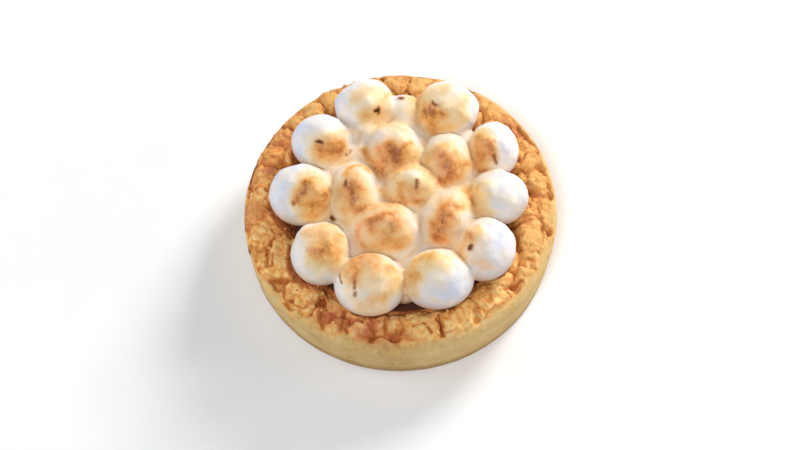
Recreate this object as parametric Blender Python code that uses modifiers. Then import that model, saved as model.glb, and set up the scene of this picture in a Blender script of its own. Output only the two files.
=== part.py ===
"""An individual lemon meringue pie: a thick shortcrust case with a crumbly top edge, and sixteen piped
dollops of meringue packed on the lemon filling, which they cover.

The case and its filling are one solid, because the pie is uncut. Each dollop is a solid of its own. It is
a squashed ball with a short tip, flattened where it presses on its neighbours, and it bulges out over the
crust's inner edge. Metres, +Z up, with the origin at the centre of the underside.
"""

import math
import random

import bpy
from mathutils import Vector, noise

MM = 0.001

# The case, as a turned shape
CRUST_RADIUS = 50.0 * MM
CRUST_HEIGHT = 19.0 * MM
FOOT_RADIUS = 49.0 * MM
FOOT_ROUNDING = 1.4 * MM
SHOULDER_ROUNDING = 3.2 * MM
CRUMB_OUTER_RADIUS = 46.8 * MM
CRUMB_INNER_RADIUS = 35.4 * MM
RIDGE_RISE = 0.7 * MM
INNER_EDGE_DROP = 2.0 * MM
INNER_SLOPE_SHARE = 0.45
FILLING_LEVEL = 16.0 * MM
WELL_WALL_SPREAD = 0.8 * MM
FLOOR_RING_SHARE = 0.55
TURN_STEPS = 150
CRUMB_RINGS = 9
SHOULDER_POINTS = 4
SHOULDER_START_DEGREES = 68
FOOT_POINTS = 3
MERGE_DISTANCE = 0.00005

# The lumps of the crumbly edge: (distance from the centre, how many lumps in the row)
LUMP_ROWS = ((45.0 * MM, 40), (39.2 * MM, 34))
LUMP_HALF_WIDTH = 4.4 * MM
LUMP_RISE = 2.5 * MM
LUMP_UNEVENNESS = 0.8 * MM
LUMP_FOOT = 1.5 * MM
LUMP_STRAY = 1.1 * MM
LUMP_BEARING_STRAY = 0.26
LUMP_SEED = 7
CRUMB_FADE = 1.3 * MM

# How far the wall is from a true round
OUT_OF_ROUND = 0.3 * MM
WIDEST_BEARING = 35.0
WALL_WAVE = 0.25 * MM
WALL_WAVES = 4.0

# The meringue
DOLLOP_CENTRE_HEIGHT = 25.6 * MM
HEIGHT_OVER_RADIUS = 0.93
DOLLOP_DEPTH = 9.4 * MM
VALLEY_HEIGHT = 27.0 * MM
MERINGUE_FIELD_RADIUS = 33.8 * MM
SKIRT_REACH = 17.0 * MM
FOOT_BLEND = 3.6 * MM
CRUST_CLEARANCE = 0.9 * MM
PRESSED_ROUNDING = 1.5 * MM
CONTACT_GAP = 0.32 * MM
TIP_RISE = 1.3 * MM
TIP_SPREAD = 0.30
DOLLOP_SEGMENTS = 18
DOLLOP_RINGS = 12
SURFACE_WAVE = 0.018
WAVE_FINENESS = 1.7
WAVE_SHIFT = 3.1
LEAST_SLOPE = 1e-4

# Each dollop: bearing in degrees, distance from the pie's centre and radius in mm, then the bearing that
# its tip leans to and how far it leans, in degrees. Ten go round the edge, and then six fill the middle.
DOLLOPS = (
    (2.0, 30.6, 9.4, 190, 22),
    (30.5, 34.4, 8.7, 215, 20),
    (64.0, 35.2, 9.8, 250, 24),
    (109.0, 34.6, 9.5, 280, 20),
    (140.2, 32.4, 9.6, 300, 14),
    (177.7, 31.4, 10.1, 350, 18),
    (217.6, 31.5, 9.9, 30, 20),
    (252.2, 31.6, 10.9, 80, 16),
    (292.5, 30.8, 10.7, 110, 24),
    (326.0, 31.6, 10.1, 165, 20),
    (33.0, 4.3, 8.6, 60, 8),
    (39.0, 19.0, 8.6, 250, 8),
    (95.5, 15.8, 9.0, 330, 10),
    (174.6, 13.9, 8.4, 130, 12),
    (250.5, 12.4, 9.2, 20, 8),
    (333.2, 16.7, 8.8, 250, 10),
)

CRUST_COLOUR = (0.72, 0.43, 0.17, 1.0)
MERINGUE_COLOUR = (0.93, 0.88, 0.79, 1.0)


def make_material(name, colour, roughness):
    material = bpy.data.materials.new(name)
    material.use_nodes = True
    shader = material.node_tree.nodes["Principled BSDF"]
    shader.inputs["Base Color"].default_value = colour
    shader.inputs["Roughness"].default_value = roughness
    shader.inputs["Metallic"].default_value = 0.0
    return material


def smooth_step(low, high, value):
    t = min(1.0, max(0.0, (value - low) / (high - low)))
    return t * t * (3.0 - 2.0 * t)


def smooth_least(a, b, rounding):
    """The lesser of a and b, rounded where they are nearly equal, and never more than either."""
    h = max(0.0, rounding - abs(a - b)) / rounding
    return min(a, b) - h * h * rounding * 0.25


def arc(centre_r, centre_z, radius, start, end, count):
    """Points (r, z) along an arc, with angles in degrees from the outward direction."""
    points = []
    for i in range(count):
        angle = math.radians(start + (end - start) * i / (count - 1))
        points.append((centre_r + radius * math.cos(angle), centre_z + radius * math.sin(angle)))
    return points


def ridge_height(distance):
    """Height of the crumbly edge before its lumps: a low ridge that falls to the case's inner edge."""
    across = (distance - CRUMB_INNER_RADIUS) / (CRUMB_OUTER_RADIUS - CRUMB_INNER_RADIUS)
    hump = RIDGE_RISE * math.sin(math.pi * min(1.0, max(0.0, across)))
    return CRUST_HEIGHT + hump - INNER_EDGE_DROP * (1.0 - smooth_step(0.0, INNER_SLOPE_SHARE, across))


def case_profile():
    """The case's section, from the centre of its top, over the edge and down to the centre of its base."""
    points = [(0.0, FILLING_LEVEL), (CRUMB_INNER_RADIUS * FLOOR_RING_SHARE, FILLING_LEVEL)]
    points.append((CRUMB_INNER_RADIUS - WELL_WALL_SPREAD, FILLING_LEVEL))
    for i in range(CRUMB_RINGS + 1):
        distance = CRUMB_INNER_RADIUS + (CRUMB_OUTER_RADIUS - CRUMB_INNER_RADIUS) * i / CRUMB_RINGS
        points.append((distance, ridge_height(distance)))
    shoulder_r = CRUST_RADIUS - SHOULDER_ROUNDING
    shoulder_z = CRUST_HEIGHT - SHOULDER_ROUNDING
    points += arc(shoulder_r, shoulder_z, SHOULDER_ROUNDING, SHOULDER_START_DEGREES, 0, SHOULDER_POINTS)
    points.append((0.5 * (CRUST_RADIUS + FOOT_RADIUS), 0.5 * (shoulder_z + FOOT_ROUNDING)))
    points += arc(FOOT_RADIUS - FOOT_ROUNDING, FOOT_ROUNDING, FOOT_ROUNDING, 0, -90, FOOT_POINTS)
    points.append((0.0, 0.0))
    return points


def lump_centres():
    """(x, y, rise) of each lump of the crumbly edge."""
    chance = random.Random(LUMP_SEED)
    lumps = []
    for distance, count in LUMP_ROWS:
        offset = chance.random()
        for i in range(count):
            bearing = 2.0 * math.pi * (i + offset + chance.uniform(-1.0, 1.0) * LUMP_BEARING_STRAY) / count
            away = distance + chance.uniform(-1.0, 1.0) * LUMP_STRAY
            rise = LUMP_RISE + chance.uniform(-1.0, 1.0) * LUMP_UNEVENNESS
            lumps.append((away * math.cos(bearing), away * math.sin(bearing), rise))
    return lumps


def lump_height(point, lumps):
    """How far the highest lump here stands over the ridge. Each is a dome with its foot below the ridge."""
    highest = 0.0
    for x, y, rise in lumps:
        away = math.hypot(point.x - x, point.y - y) / LUMP_HALF_WIDTH
        highest = max(highest, rise * (1.0 - away * away))
    return highest - LUMP_FOOT


class Dollop:
    """One piped ball of meringue, as the distance from its centre to its surface in any direction."""

    def __init__(self, number, bearing, distance, radius, lean_bearing, lean):
        angle = math.radians(bearing)
        across = distance * MM
        self.number = number
        self.radius = radius * MM
        self.centre = Vector((across * math.cos(angle), across * math.sin(angle), DOLLOP_CENTRE_HEIGHT))
        lean_angle, tilt = math.radians(lean_bearing), math.radians(lean)
        sideways = math.sin(tilt)
        self.tip = Vector((sideways * math.cos(lean_angle), sideways * math.sin(lean_angle), math.cos(tilt)))
        self.walls = []

    def press_on(self, other):
        """Adds the flat wall where this dollop meets another, half a contact gap short of the middle."""
        between = other.centre - self.centre
        if 0.0 < between.length < 2.0 * SKIRT_REACH:
            share = 0.5 + (self.radius - other.radius) / between.length * 0.5
            self.walls.append((between.normalized(), between.length * share - 0.5 * CONTACT_GAP))

    def ball(self, way):
        """The squashed ball with its tip. A wide one is taller than the rest, but no deeper."""
        depth = self.radius * HEIGHT_OVER_RADIUS if way.z > 0.0 else DOLLOP_DEPTH
        flat = (way.x * way.x + way.y * way.y) / self.radius**2
        reach = 1.0 / math.sqrt(flat + way.z * way.z / depth**2)
        lean = way.angle(self.tip)
        upper = smooth_step(-0.1, 0.5, way.z)
        wave = noise.noise(way * WAVE_FINENESS + Vector((self.number * WAVE_SHIFT, 0.0, 0.0)))
        return reach * (1.0 + SURFACE_WAVE * upper * wave) + TIP_RISE * math.exp(-((lean / TIP_SPREAD) ** 2))

    def skirt(self, way):
        """The spread foot that fills the valleys between the dollops, inside the meringue field only."""
        flat = math.hypot(way.x, way.y)
        if flat < LEAST_SLOPE:
            return 0.0
        reach = SKIRT_REACH / flat
        if way.z > LEAST_SLOPE:
            reach = min(reach, (VALLEY_HEIGHT - self.centre.z) / way.z)
        along = (self.centre.x * way.x + self.centre.y * way.y) / flat**2
        inside = MERINGUE_FIELD_RADIUS**2 - self.centre.x**2 - self.centre.y**2
        square = along * along + inside / flat**2
        if square <= 0.0:
            return 0.0
        return min(reach, max(0.0, math.sqrt(square) - along))

    def surface(self, way):
        """Distance from the centre to the surface: ball and foot, cut short at the walls and the base."""
        reach = -smooth_least(-self.ball(way), -self.skirt(way), FOOT_BLEND)
        for facing, distance in self.walls:
            toward = way.dot(facing)
            if toward > LEAST_SLOPE:
                reach = smooth_least(reach, distance / toward, PRESSED_ROUNDING)
        floor = self.centre.z - FILLING_LEVEL - CONTACT_GAP
        if way.z < -LEAST_SLOPE:
            reach = min(reach, floor / -way.z)
        return reach

    def underside(self, x, y):
        """Height of the ball's underside over this place, or None outside it."""
        away = math.hypot(x - self.centre.x, y - self.centre.y)
        if away >= self.radius:
            return None
        return self.centre.z - DOLLOP_DEPTH * math.sqrt(1.0 - (away / self.radius) ** 2)


def make_dollops():
    dollops = [Dollop(i + 1, *row) for i, row in enumerate(DOLLOPS)]
    for one in dollops:
        for other in dollops:
            one.press_on(other)
    return dollops


def crumbled(point, lumps, dollops):
    """Where a point of the turned case goes once its edge is crumbly and its wall is hand-pressed."""
    distance = math.hypot(point.x, point.y)
    bearing = math.atan2(point.y, point.x)
    if distance < CRUMB_INNER_RADIUS - 0.5 * WELL_WALL_SPREAD:
        return point
    moved = point.copy()
    upper = smooth_step(FOOT_ROUNDING, CRUST_HEIGHT, point.z)
    out = OUT_OF_ROUND * math.cos(2.0 * (bearing - math.radians(WIDEST_BEARING)))
    around = Vector((math.cos(bearing), math.sin(bearing), 0.0)) * WALL_WAVES
    out += WALL_WAVE * upper * noise.noise(around)
    if distance > CRUMB_OUTER_RADIUS:
        moved.x += out * math.cos(bearing)
        moved.y += out * math.sin(bearing)
    on_edge = smooth_step(CRUMB_OUTER_RADIUS + CRUMB_FADE, CRUMB_OUTER_RADIUS - CRUMB_FADE, distance)
    if point.z > CRUST_HEIGHT - SHOULDER_ROUNDING:
        moved.z += on_edge * lump_height(moved, lumps)
        for dollop in dollops:
            roof = dollop.underside(moved.x, moved.y)
            if roof is not None:
                moved.z = min(moved.z, roof - CRUST_CLEARANCE)
    return moved


def build_case(collection, dollops):
    """The case: the profile is turned with a Screw, then its edge is crumbled."""
    profile = case_profile()
    mesh = bpy.data.meshes.new("crust_profile")
    vertices = [(r, 0.0, z) for r, z in profile]
    mesh.from_pydata(vertices, [(i, i + 1) for i in range(len(vertices) - 1)], [])
    turned = bpy.data.objects.new("crust_profile", mesh)
    bpy.context.scene.collection.objects.link(turned)
    screw = turned.modifiers.new("Turn", "SCREW")
    screw.steps = TURN_STEPS
    screw.render_steps = TURN_STEPS
    screw.use_merge_vertices = True
    screw.merge_threshold = MERGE_DISTANCE
    screw.use_smooth_shade = True
    bpy.context.view_layer.update()
    graph = bpy.context.evaluated_depsgraph_get()
    solid = bpy.data.meshes.new_from_object(turned.evaluated_get(graph))
    bpy.data.objects.remove(turned)
    lumps = lump_centres()
    for vertex in solid.vertices:
        vertex.co = crumbled(vertex.co, lumps, dollops)
    solid.name = "crust"
    case = bpy.data.objects.new("crust", solid)
    solid.materials.clear()
    solid.materials.append(make_material("baked_shortcrust", CRUST_COLOUR, 0.85))
    solid.shade_smooth()
    collection.objects.link(case)
    return case


def build_dollop(collection, dollop, material):
    """A dollop: a sphere whose points are moved along their own directions to the dollop's surface."""
    bpy.ops.mesh.primitive_uv_sphere_add(segments=DOLLOP_SEGMENTS, ring_count=DOLLOP_RINGS, radius=1.0)
    ball = bpy.context.active_object
    ball.name = f"meringue_dollop_{dollop.number:02d}"
    ball.data.name = ball.name
    for vertex in ball.data.vertices:
        way = vertex.co.normalized()
        vertex.co = way * dollop.surface(way)
    ball.location = dollop.centre
    ball.data.materials.append(material)
    ball.data.shade_smooth()
    for holder in list(ball.users_collection):
        holder.objects.unlink(ball)
    collection.objects.link(ball)
    return ball


def main():
    for leftover in list(bpy.data.objects):
        bpy.data.objects.remove(leftover)
    pie = bpy.data.collections.new("lemon_meringue_pie")
    bpy.context.scene.collection.children.link(pie)
    dollops = make_dollops()
    build_case(pie, dollops)
    meringue = make_material("toasted_meringue", MERINGUE_COLOUR, 0.6)
    for dollop in dollops:
        build_dollop(pie, dollop, meringue)


main()
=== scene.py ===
"""The looks of the lemon meringue pie: baked pastry with a crumbly edge, and torched meringue.

The case and the meringue have the solids' named sizes, with finer relief. Lengths are in metres, or in mm
where a table's comment says so. The tables' bearings are in degrees, anticlockwise from +X.
"""

import itertools
import math
import random

import bmesh
import bpy
import numpy as np
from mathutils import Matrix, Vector
from mathutils.kdtree import KDTree


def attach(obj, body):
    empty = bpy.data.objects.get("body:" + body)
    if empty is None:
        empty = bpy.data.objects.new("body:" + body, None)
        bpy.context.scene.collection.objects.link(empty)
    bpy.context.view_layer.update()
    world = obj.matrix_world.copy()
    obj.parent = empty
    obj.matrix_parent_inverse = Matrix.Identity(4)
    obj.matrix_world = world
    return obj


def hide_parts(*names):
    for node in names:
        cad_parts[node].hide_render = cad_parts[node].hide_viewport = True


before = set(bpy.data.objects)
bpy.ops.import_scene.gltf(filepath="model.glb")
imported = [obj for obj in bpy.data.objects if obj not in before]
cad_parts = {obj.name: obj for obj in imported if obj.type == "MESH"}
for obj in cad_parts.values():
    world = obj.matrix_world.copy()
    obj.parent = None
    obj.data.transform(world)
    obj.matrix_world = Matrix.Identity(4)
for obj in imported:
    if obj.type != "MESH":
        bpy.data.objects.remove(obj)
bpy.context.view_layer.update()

MM = 0.001
TURN = 2.0 * math.pi

# The photograph's camera
VIEW_ELEVATION = math.radians(64.0)
TOWARD_CAMERA = (0.0, -math.cos(VIEW_ELEVATION), math.sin(VIEW_ELEVATION))
UP_IN_VIEW = (0.0, math.sin(VIEW_ELEVATION), math.cos(VIEW_ELEVATION))
VIEW_DISTANCE = 0.700
VIEW_TARGET_HEIGHT = 19.0 * MM
LENS = 98.6
PHOTO_WIDTH = 800.0
PHOTO_CENTRE = (400.0, 225.0)
TARGET_IN_PHOTO = (400.7, 207.7)
SENSOR_WIDTH = 36.0
NEAREST_SEEN = 0.01

# Lights: (name, bearing, elevation in degrees, distance, size, power, colour)
LIGHTS = (
    ("key", 52, 25, 1.3, 0.48, 18.2, (1.0, 0.985, 0.965)),
    ("right", 358, 16, 1.4, 0.70, 5.4, (1.0, 0.99, 0.98)),
    ("top", 250, 60, 1.5, 0.50, 11.0, (1.0, 1.0, 1.0)),
    ("fill", 170, 16, 1.4, 0.70, 8.0, (0.82, 0.91, 1.0)),
)
SKY_COLOUR = (0.96, 0.98, 1.0, 1.0)
SKY_STRENGTH = 0.11

# The floor
FLOOR_SIZE = 6.0
FLOOR_GAP = 0.02 * MM
FLOOR_STOPS = ((0.3, (0.925, 0.925, 0.93, 1.0)), (0.7, (0.945, 0.945, 0.95, 1.0)))
FLOOR_GRAIN_SIZE = 20.0 * MM

# The case
CRUST_RADIUS = 50.0 * MM
CRUST_HEIGHT = 19.0 * MM
FOOT_RADIUS = 49.0 * MM
FOOT_ROUNDING = 1.4 * MM
SHOULDER_ROUNDING = 3.2 * MM
CRUMB_OUTER_RADIUS = 46.8 * MM
CRUMB_INNER_RADIUS = 35.4 * MM
CRUMB_BAND = CRUMB_OUTER_RADIUS - CRUMB_INNER_RADIUS
RIDGE_RISE = 0.7 * MM
INNER_EDGE_DROP = 2.0 * MM
INNER_SLOPE_SHARE = 0.45
FILLING_LEVEL = 16.0 * MM
WELL_WALL_SPREAD = 0.8 * MM
OUT_OF_ROUND = 0.3 * MM
WIDEST_BEARING = 35.0
CASE_COLUMNS = 760
BAND_SPACING = 0.33 * MM
WALL_SPACING = 0.6 * MM
WELL_RINGS = (0.3, 0.6, 0.85, 0.97, 1.0)
BASE_RINGS = (0.9, 0.6, 0.3)
SHOULDER_ARC = (84, 0, 14)
FOOT_ARC = (0, -90, 6)

# The lumps of the crumbly edge: (distance from the centre, how many lumps in the row)
LUMP_ROWS = ((45.0 * MM, 40), (39.2 * MM, 34))
LUMP_HALF_WIDTH = 4.4 * MM
LUMP_RISE = 2.5 * MM
LUMP_UNEVENNESS = 0.8 * MM
LUMP_FOOT = 1.5 * MM
LUMP_STRAY = 1.1 * MM
LUMP_BEARING_STRAY = 0.26
LUMP_SEED = 7
CRACK_WIDTH = 0.70 * MM
CRACK_DEPTH = 1.5 * MM
WARP_SIZE = 4.2 * MM
WARP_SEED = 40
WARP_REACH = 1.5 * MM
DOME_POWER = 3.6
LUMP_NUMBER_SEED = 77
CRUMB_SIZE = 3.4 * MM
CRUMB_RELIEF = 0.24 * MM
CRUMB_MIDDLE = 0.55
GRAIN_SIZE = 1.5 * MM
GRAIN_RELIEF = 0.38 * MM
GRAIN_MIDDLE = 0.5
KNOB_RELIEF = 0.36 * MM
GAP_WIDTH = 0.12
GAP_DEPTH = 0.45 * MM
CLOSED_CRACK_DEPTH = 0.15
SIDEWAYS_REACH = 0.35 * MM
WALL_WAVE = 0.10 * MM
WALL_GRAIN = 0.05 * MM
EDGE_MARGIN = 0.1 * MM
FAR_CLEAR = 9.0 * MM

# Where the crumbs end on the rim
LIMIT_DISTANCE = 47.7 * MM
LIMIT_LEFTWARD = 1.1 * MM
LIMIT_BACKWARD = 1.5 * MM
LIMIT_SIDES = 0.9 * MM
LIMIT_WAVER = 0.9 * MM
LIMIT_FADE = (0.9 * MM, -0.5 * MM)
BLEND_FADE = (2.4 * MM, -0.3 * MM)
BLEND_WAVER = 0.7 * MM

# Noises of the case: (size of its features, seed), and the range over which one fades in
LIMIT_NOISE = (0.09, 11)
OPEN_CRACK_NOISE = (5.0 * MM, 60)
OPEN_CRACK_RANGE = (0.0, 0.7)
KNOB_NOISE = (2.2 * MM, 150)
BROKEN_GAP_NOISE = (6.0 * MM, 170)
BROKEN_RANGE = (-0.1, 0.5)
SIDEWAYS_NOISE = (2.0 * MM, 70)
WALL_NOISE = (7.0 * MM, 80)
WALL_GRAIN_NOISE = (1.4 * MM, 84)
BRINK_NOISE = (7.0 * MM, 160)
BRINK_RANGE = (-0.1, 0.6)
CONTACT_NOISE = (2.5 * MM, 180)
BLEND_NOISE = (1.8 * MM, 190)
RUDDY_NOISE = (3.0 * MM, 140)
CRUMB_SEED = 20
GRAIN_SEED = 30

# Painted shade of the edge: darker browns in cracks, hollows, gaps and creases, along the crumbs' rim, in
# the well, and beside and under the dollops
HOLLOW_RANGE = (0.2 * MM, -1.6 * MM)
BRINK_SHIFT = 0.2 * MM
BRINK_WIDTH = 0.45 * MM
CLOSED_CRACK_SHARE = 0.1
HOLLOW_SHARE = 0.45
BRINK_SHARE = 0.9
GAP_SHARE = 0.22
CREASE_SHARE = 0.85
CREVICE_SHARE = 0.70
CREASE_DARKNESS = 0.86
# Painted shadow beside and under the dollops, wider on their left
CONTACT_SHARE = 0.85
CONTACT_WAVER = 0.7 * MM
LEFT_RANGE = (-13.0 * MM, -22.0 * MM)
LEFT_FRONT_RANGE = (-33.0 * MM, -26.0 * MM)
LEFT_CONTACT_RANGE = (2.7 * MM, 0.4 * MM)
CONTACT_RANGE = (1.0 * MM, 0.2 * MM)

# Painted light and shade of the edge: a painted highlight on the lumps' crests, painted light that makes the
# front paler, and painted shade that makes the back and right duller
CREST_RANGE = (-0.6 * MM, 2.2 * MM)
PALER_RANGE = (30.0 * MM, -40.0 * MM)
PALER_SHARE = 0.26
PALER_START = -0.06
# Shares in the crust's tone of the lump, the crumb, the grain and the painted highlight on crests
TAG_SHARES = (0.26, 0.18, 0.08, 0.36)
BACK_RANGE = (8.0 * MM, 38.0 * MM)
BACK_DULLNESS = 0.70
RIGHT_RANGE = (24.0 * MM, 44.0 * MM)
RIGHT_DULLNESS = 0.56

# Larger blocks of the edge: (x, y, half across, half along, turn in degrees, rise) in mm
EDGE_BLOCKS = (
    (6.2, -42, 5.8, 5.4, 2, 2.7),
    (17.8, -39.4, 5.4, 5, 8, 2.6),
    (25.6, -38, 2.3, 3.4, 26, 2.4),
    (28, -32.6, 5.2, 5.2, 40, 2.5),
    (-37.4, -17.2, 4.6, 7.6, -24, 2.7),
    (-31.6, -28.6, 5, 5.2, -42, 2.5),
    (41.2, -10.5, 4.6, 6, 14, 2.5),
)
BLOCK_POWER = 6.0
BLOCK_EDGE = 0.07
BLOCK_RIM = 1.03
BLOCK_FADE = (1.05, 0.93)
BLOCK_CROWN = 0.25
BLOCK_CREASE = 0.6

# Deeper creases of the edge: (x, y) of both ends and half width in mm, strength
CREASES = (
    (-24.5, -32, -25, -41.5, 1.2, 0.95), (-17.5, -36, -19, -44, 0.8, 1),
    (-9, -37, -8.5, -44.5, 0.4, 1), (-5, -39, -4.5, -45, 0.5, 0.8),
    (-14, -45.3, 0, -45.3, 0.5, 1), (0.5, -43.5, 3.5, -46.5, 1.1, 0.6),
    (12.2, -38, 12.4, -47.5, 0.35, 0.9), (7, -40.5, 9.5, -43.5, 0.35, 0.9),
    (3.5, -41.5, 5.5, -41, 0.3, 0.7), (22.5, -33.5, 23, -41.5, 0.35, 0.4),
    (24.5, -40.5, 27, -40.5, 0.25, 0.5), (32, -29, 38, -26.2, 0.5, 0.9),
    (27.5, -27.5, 28, -33, 1, 0.5), (39.5, 8, 41.5, 4, 0.5, 0.6),
    (36.5, -6, 41.5, -5, 0.7, 0.7), (40, -18.5, 43, -20, 0.7, 0.8),
    (44, 4, 45, -12, 0.5, 0.6), (-42.3, -14.5, -42.3, -21, 0.35, 0.85),
    (-42.3, -21, -40.3, -20.5, 0.35, 0.85), (-40.3, -20.5, -40.3, -16.5, 0.35, 0.85),
    (-41, -25, -33, -25.5, 0.5, 0.8), (-36.6, -27, -36.4, -31.5, 0.4, 1),
    (-29.5, -26.5, -28.5, -28.5, 0.4, 0.6), (-23, 32.5, -20.5, 34, 0.8, 0.8),
)
CREASE_DEPTH = 0.75 * MM
CREASE_WIDENING = 0.15
CREASE_WARP = 0.25

# Redder patches of the edge: (x, y, spread in mm, strength)
RUDDY_PATCHES = (
    (-22.5, -37, 3.5, 1),
    (-17, -39.5, 3.5, 1),
    (-9, -42.5, 6, 0.9),
    (-1.5, -44.5, 4, 0.7),
    (-42.5, 13, 4, 0.7),
    (-46, -1, 5, 0.5),
    (-38, 24, 4, 0.5),
    (36, 29, 4, 0.4),
)
RUDDY_UNEVENNESS = 0.8

# Loose crumbs on the edge
LOOSE_CRUMBS = 170
LOOSE_SMALLEST = 0.25 * MM
LOOSE_LARGEST = 0.60 * MM
LOOSE_SEED = 12
LOOSE_STRETCH = (0.75, 1.25)
LOOSE_ROUGHNESS = 0.28
LOOSE_NOISE = (0.75, 5)
LOOSE_STEP = 3.7
LOOSE_SINK = 0.35
SMALL_CRUMB_POWER = 2.2
SEAT_CRUMB = 0.7

# The meringue
DOLLOP_CENTRE_HEIGHT = 25.6 * MM
HEIGHT_OVER_RADIUS = 0.93
DOLLOP_DEPTH = 9.4 * MM
TIP_RISE = 1.3 * MM
TIP_SPREAD = 0.30
VALLEY_HEIGHT = 26.6 * MM
VALLEY_CROWN = 3.0 * MM
STROKE_STEPS = 9
STROKE_REACH = 2.2
HALO = 2.0
HALO_SHARE = 0.22
VALLEY_RADIUS = 32.0 * MM
VALLEY_CENTRE = (0.5 * MM, 3.0 * MM)
VALLEY_POWER = 5.0
INNER_SPREAD = 1.1 * MM
INNER_FROM = 11
MERINGUE_VOXEL = 0.42 * MM
SOFTENING_PASSES = 12
BALL_SEGMENTS = 72
BALL_RINGS = 44
SOFTENING = 0.5
BALL_WAVE = 0.045
WAVE_RANGE = (-0.3, 0.4)
BALL_NOISE = (0.8, 90)
BALL_STEP = 3.1
FINE_NOISE = (0.4, 91)
FINE_STEP = 5.3
FINE_SHARE = 0.4
STROKE_WARP = (3.0 * MM, 100)
STROKE_WARP_REACH = 0.45 * MM
SWELL = 0.34 * MM
SWELL_NOISE = (4.4 * MM, 120)
WRINKLE = 0.14 * MM
WRINKLE_NOISE = (1.6 * MM, 130)
UNTOASTED_WRINKLE = 0.10
SCORCH_SINK = 0.20 * MM
UPPER_RANGE = (-0.3, 0.3)
VALLEY_RANGE = (0.2 * MM, 3.0 * MM)
INNER_RANGE = (33.0 * MM, 21.0 * MM)
# Painted shade on the outer dollops' lower parts: the heights over which it fades in
LOW_RANGE = (31.0 * MM, 20.5 * MM)
# Shares of the cream tint: in the valleys it is partly painted shade, on the inner part the meringue's own
# warmer colour
VALLEY_CREAM = 0.55
INNER_CREAM = 0.45
OUTER_SHARE = 0.3
# Painted shade in the narrow valleys between dollops
FOLD_RANGE = (0.1 * MM, 1.8 * MM)
FOLD_NOISE = (5.0 * MM, 200)
FOLD_BREAKS = (-0.6, 0.5)
CRUST_CLEARANCE = 0.3 * MM

# Each dollop: bearing, distance from the pie's centre and radius in mm, the bearing and tilt of its tip,
# then the bearing of its longer axis and how much longer it is that way
DOLLOPS = (
    (0.5, 30.6, 9.3, 190, 22, 0, 1.06),
    (30.5, 34.4, 8.7, 215, 20, 100, 1.05),
    (65, 35, 9.9, 250, 24, 0, 1.05),
    (109, 34.6, 9.5, 280, 20, 20, 1.04),
    (141.4, 31.9, 9.5, 300, 14, 0, 1.07),
    (177.7, 31.2, 10.3, 350, 18, 0, 1.03),
    (217.6, 31.5, 9.9, 30, 20, 100, 1.03),
    (252.2, 31.2, 10.7, 80, 16, 0, 1.06),
    (292.5, 30.2, 10.4, 110, 24, 5, 1.08),
    (326, 31.6, 10.1, 165, 20, 60, 1.03),
    (33, 4.3, 8.6, 60, 8, 0, 1.08),
    (39, 19, 8.6, 250, 8, 95, 1.08),
    (95.5, 15.8, 9, 330, 10, 115, 1.08),
    (174.6, 13.9, 8.4, 130, 12, 95, 1.14),
    (250.5, 12.4, 9.2, 20, 8, 5, 1.07),
    (333.2, 16.7, 8.8, 250, 10, 70, 1.07),
)

# Balls of meringue that join two dollops: (x, y, height, radius) in mm
JOINS = (
    (0.8, 30, 21.6, 8.6),
    (-13, 24.4, 23.4, 7.4),
    (1.2, -29.4, 21.2, 4.7),
)

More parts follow.
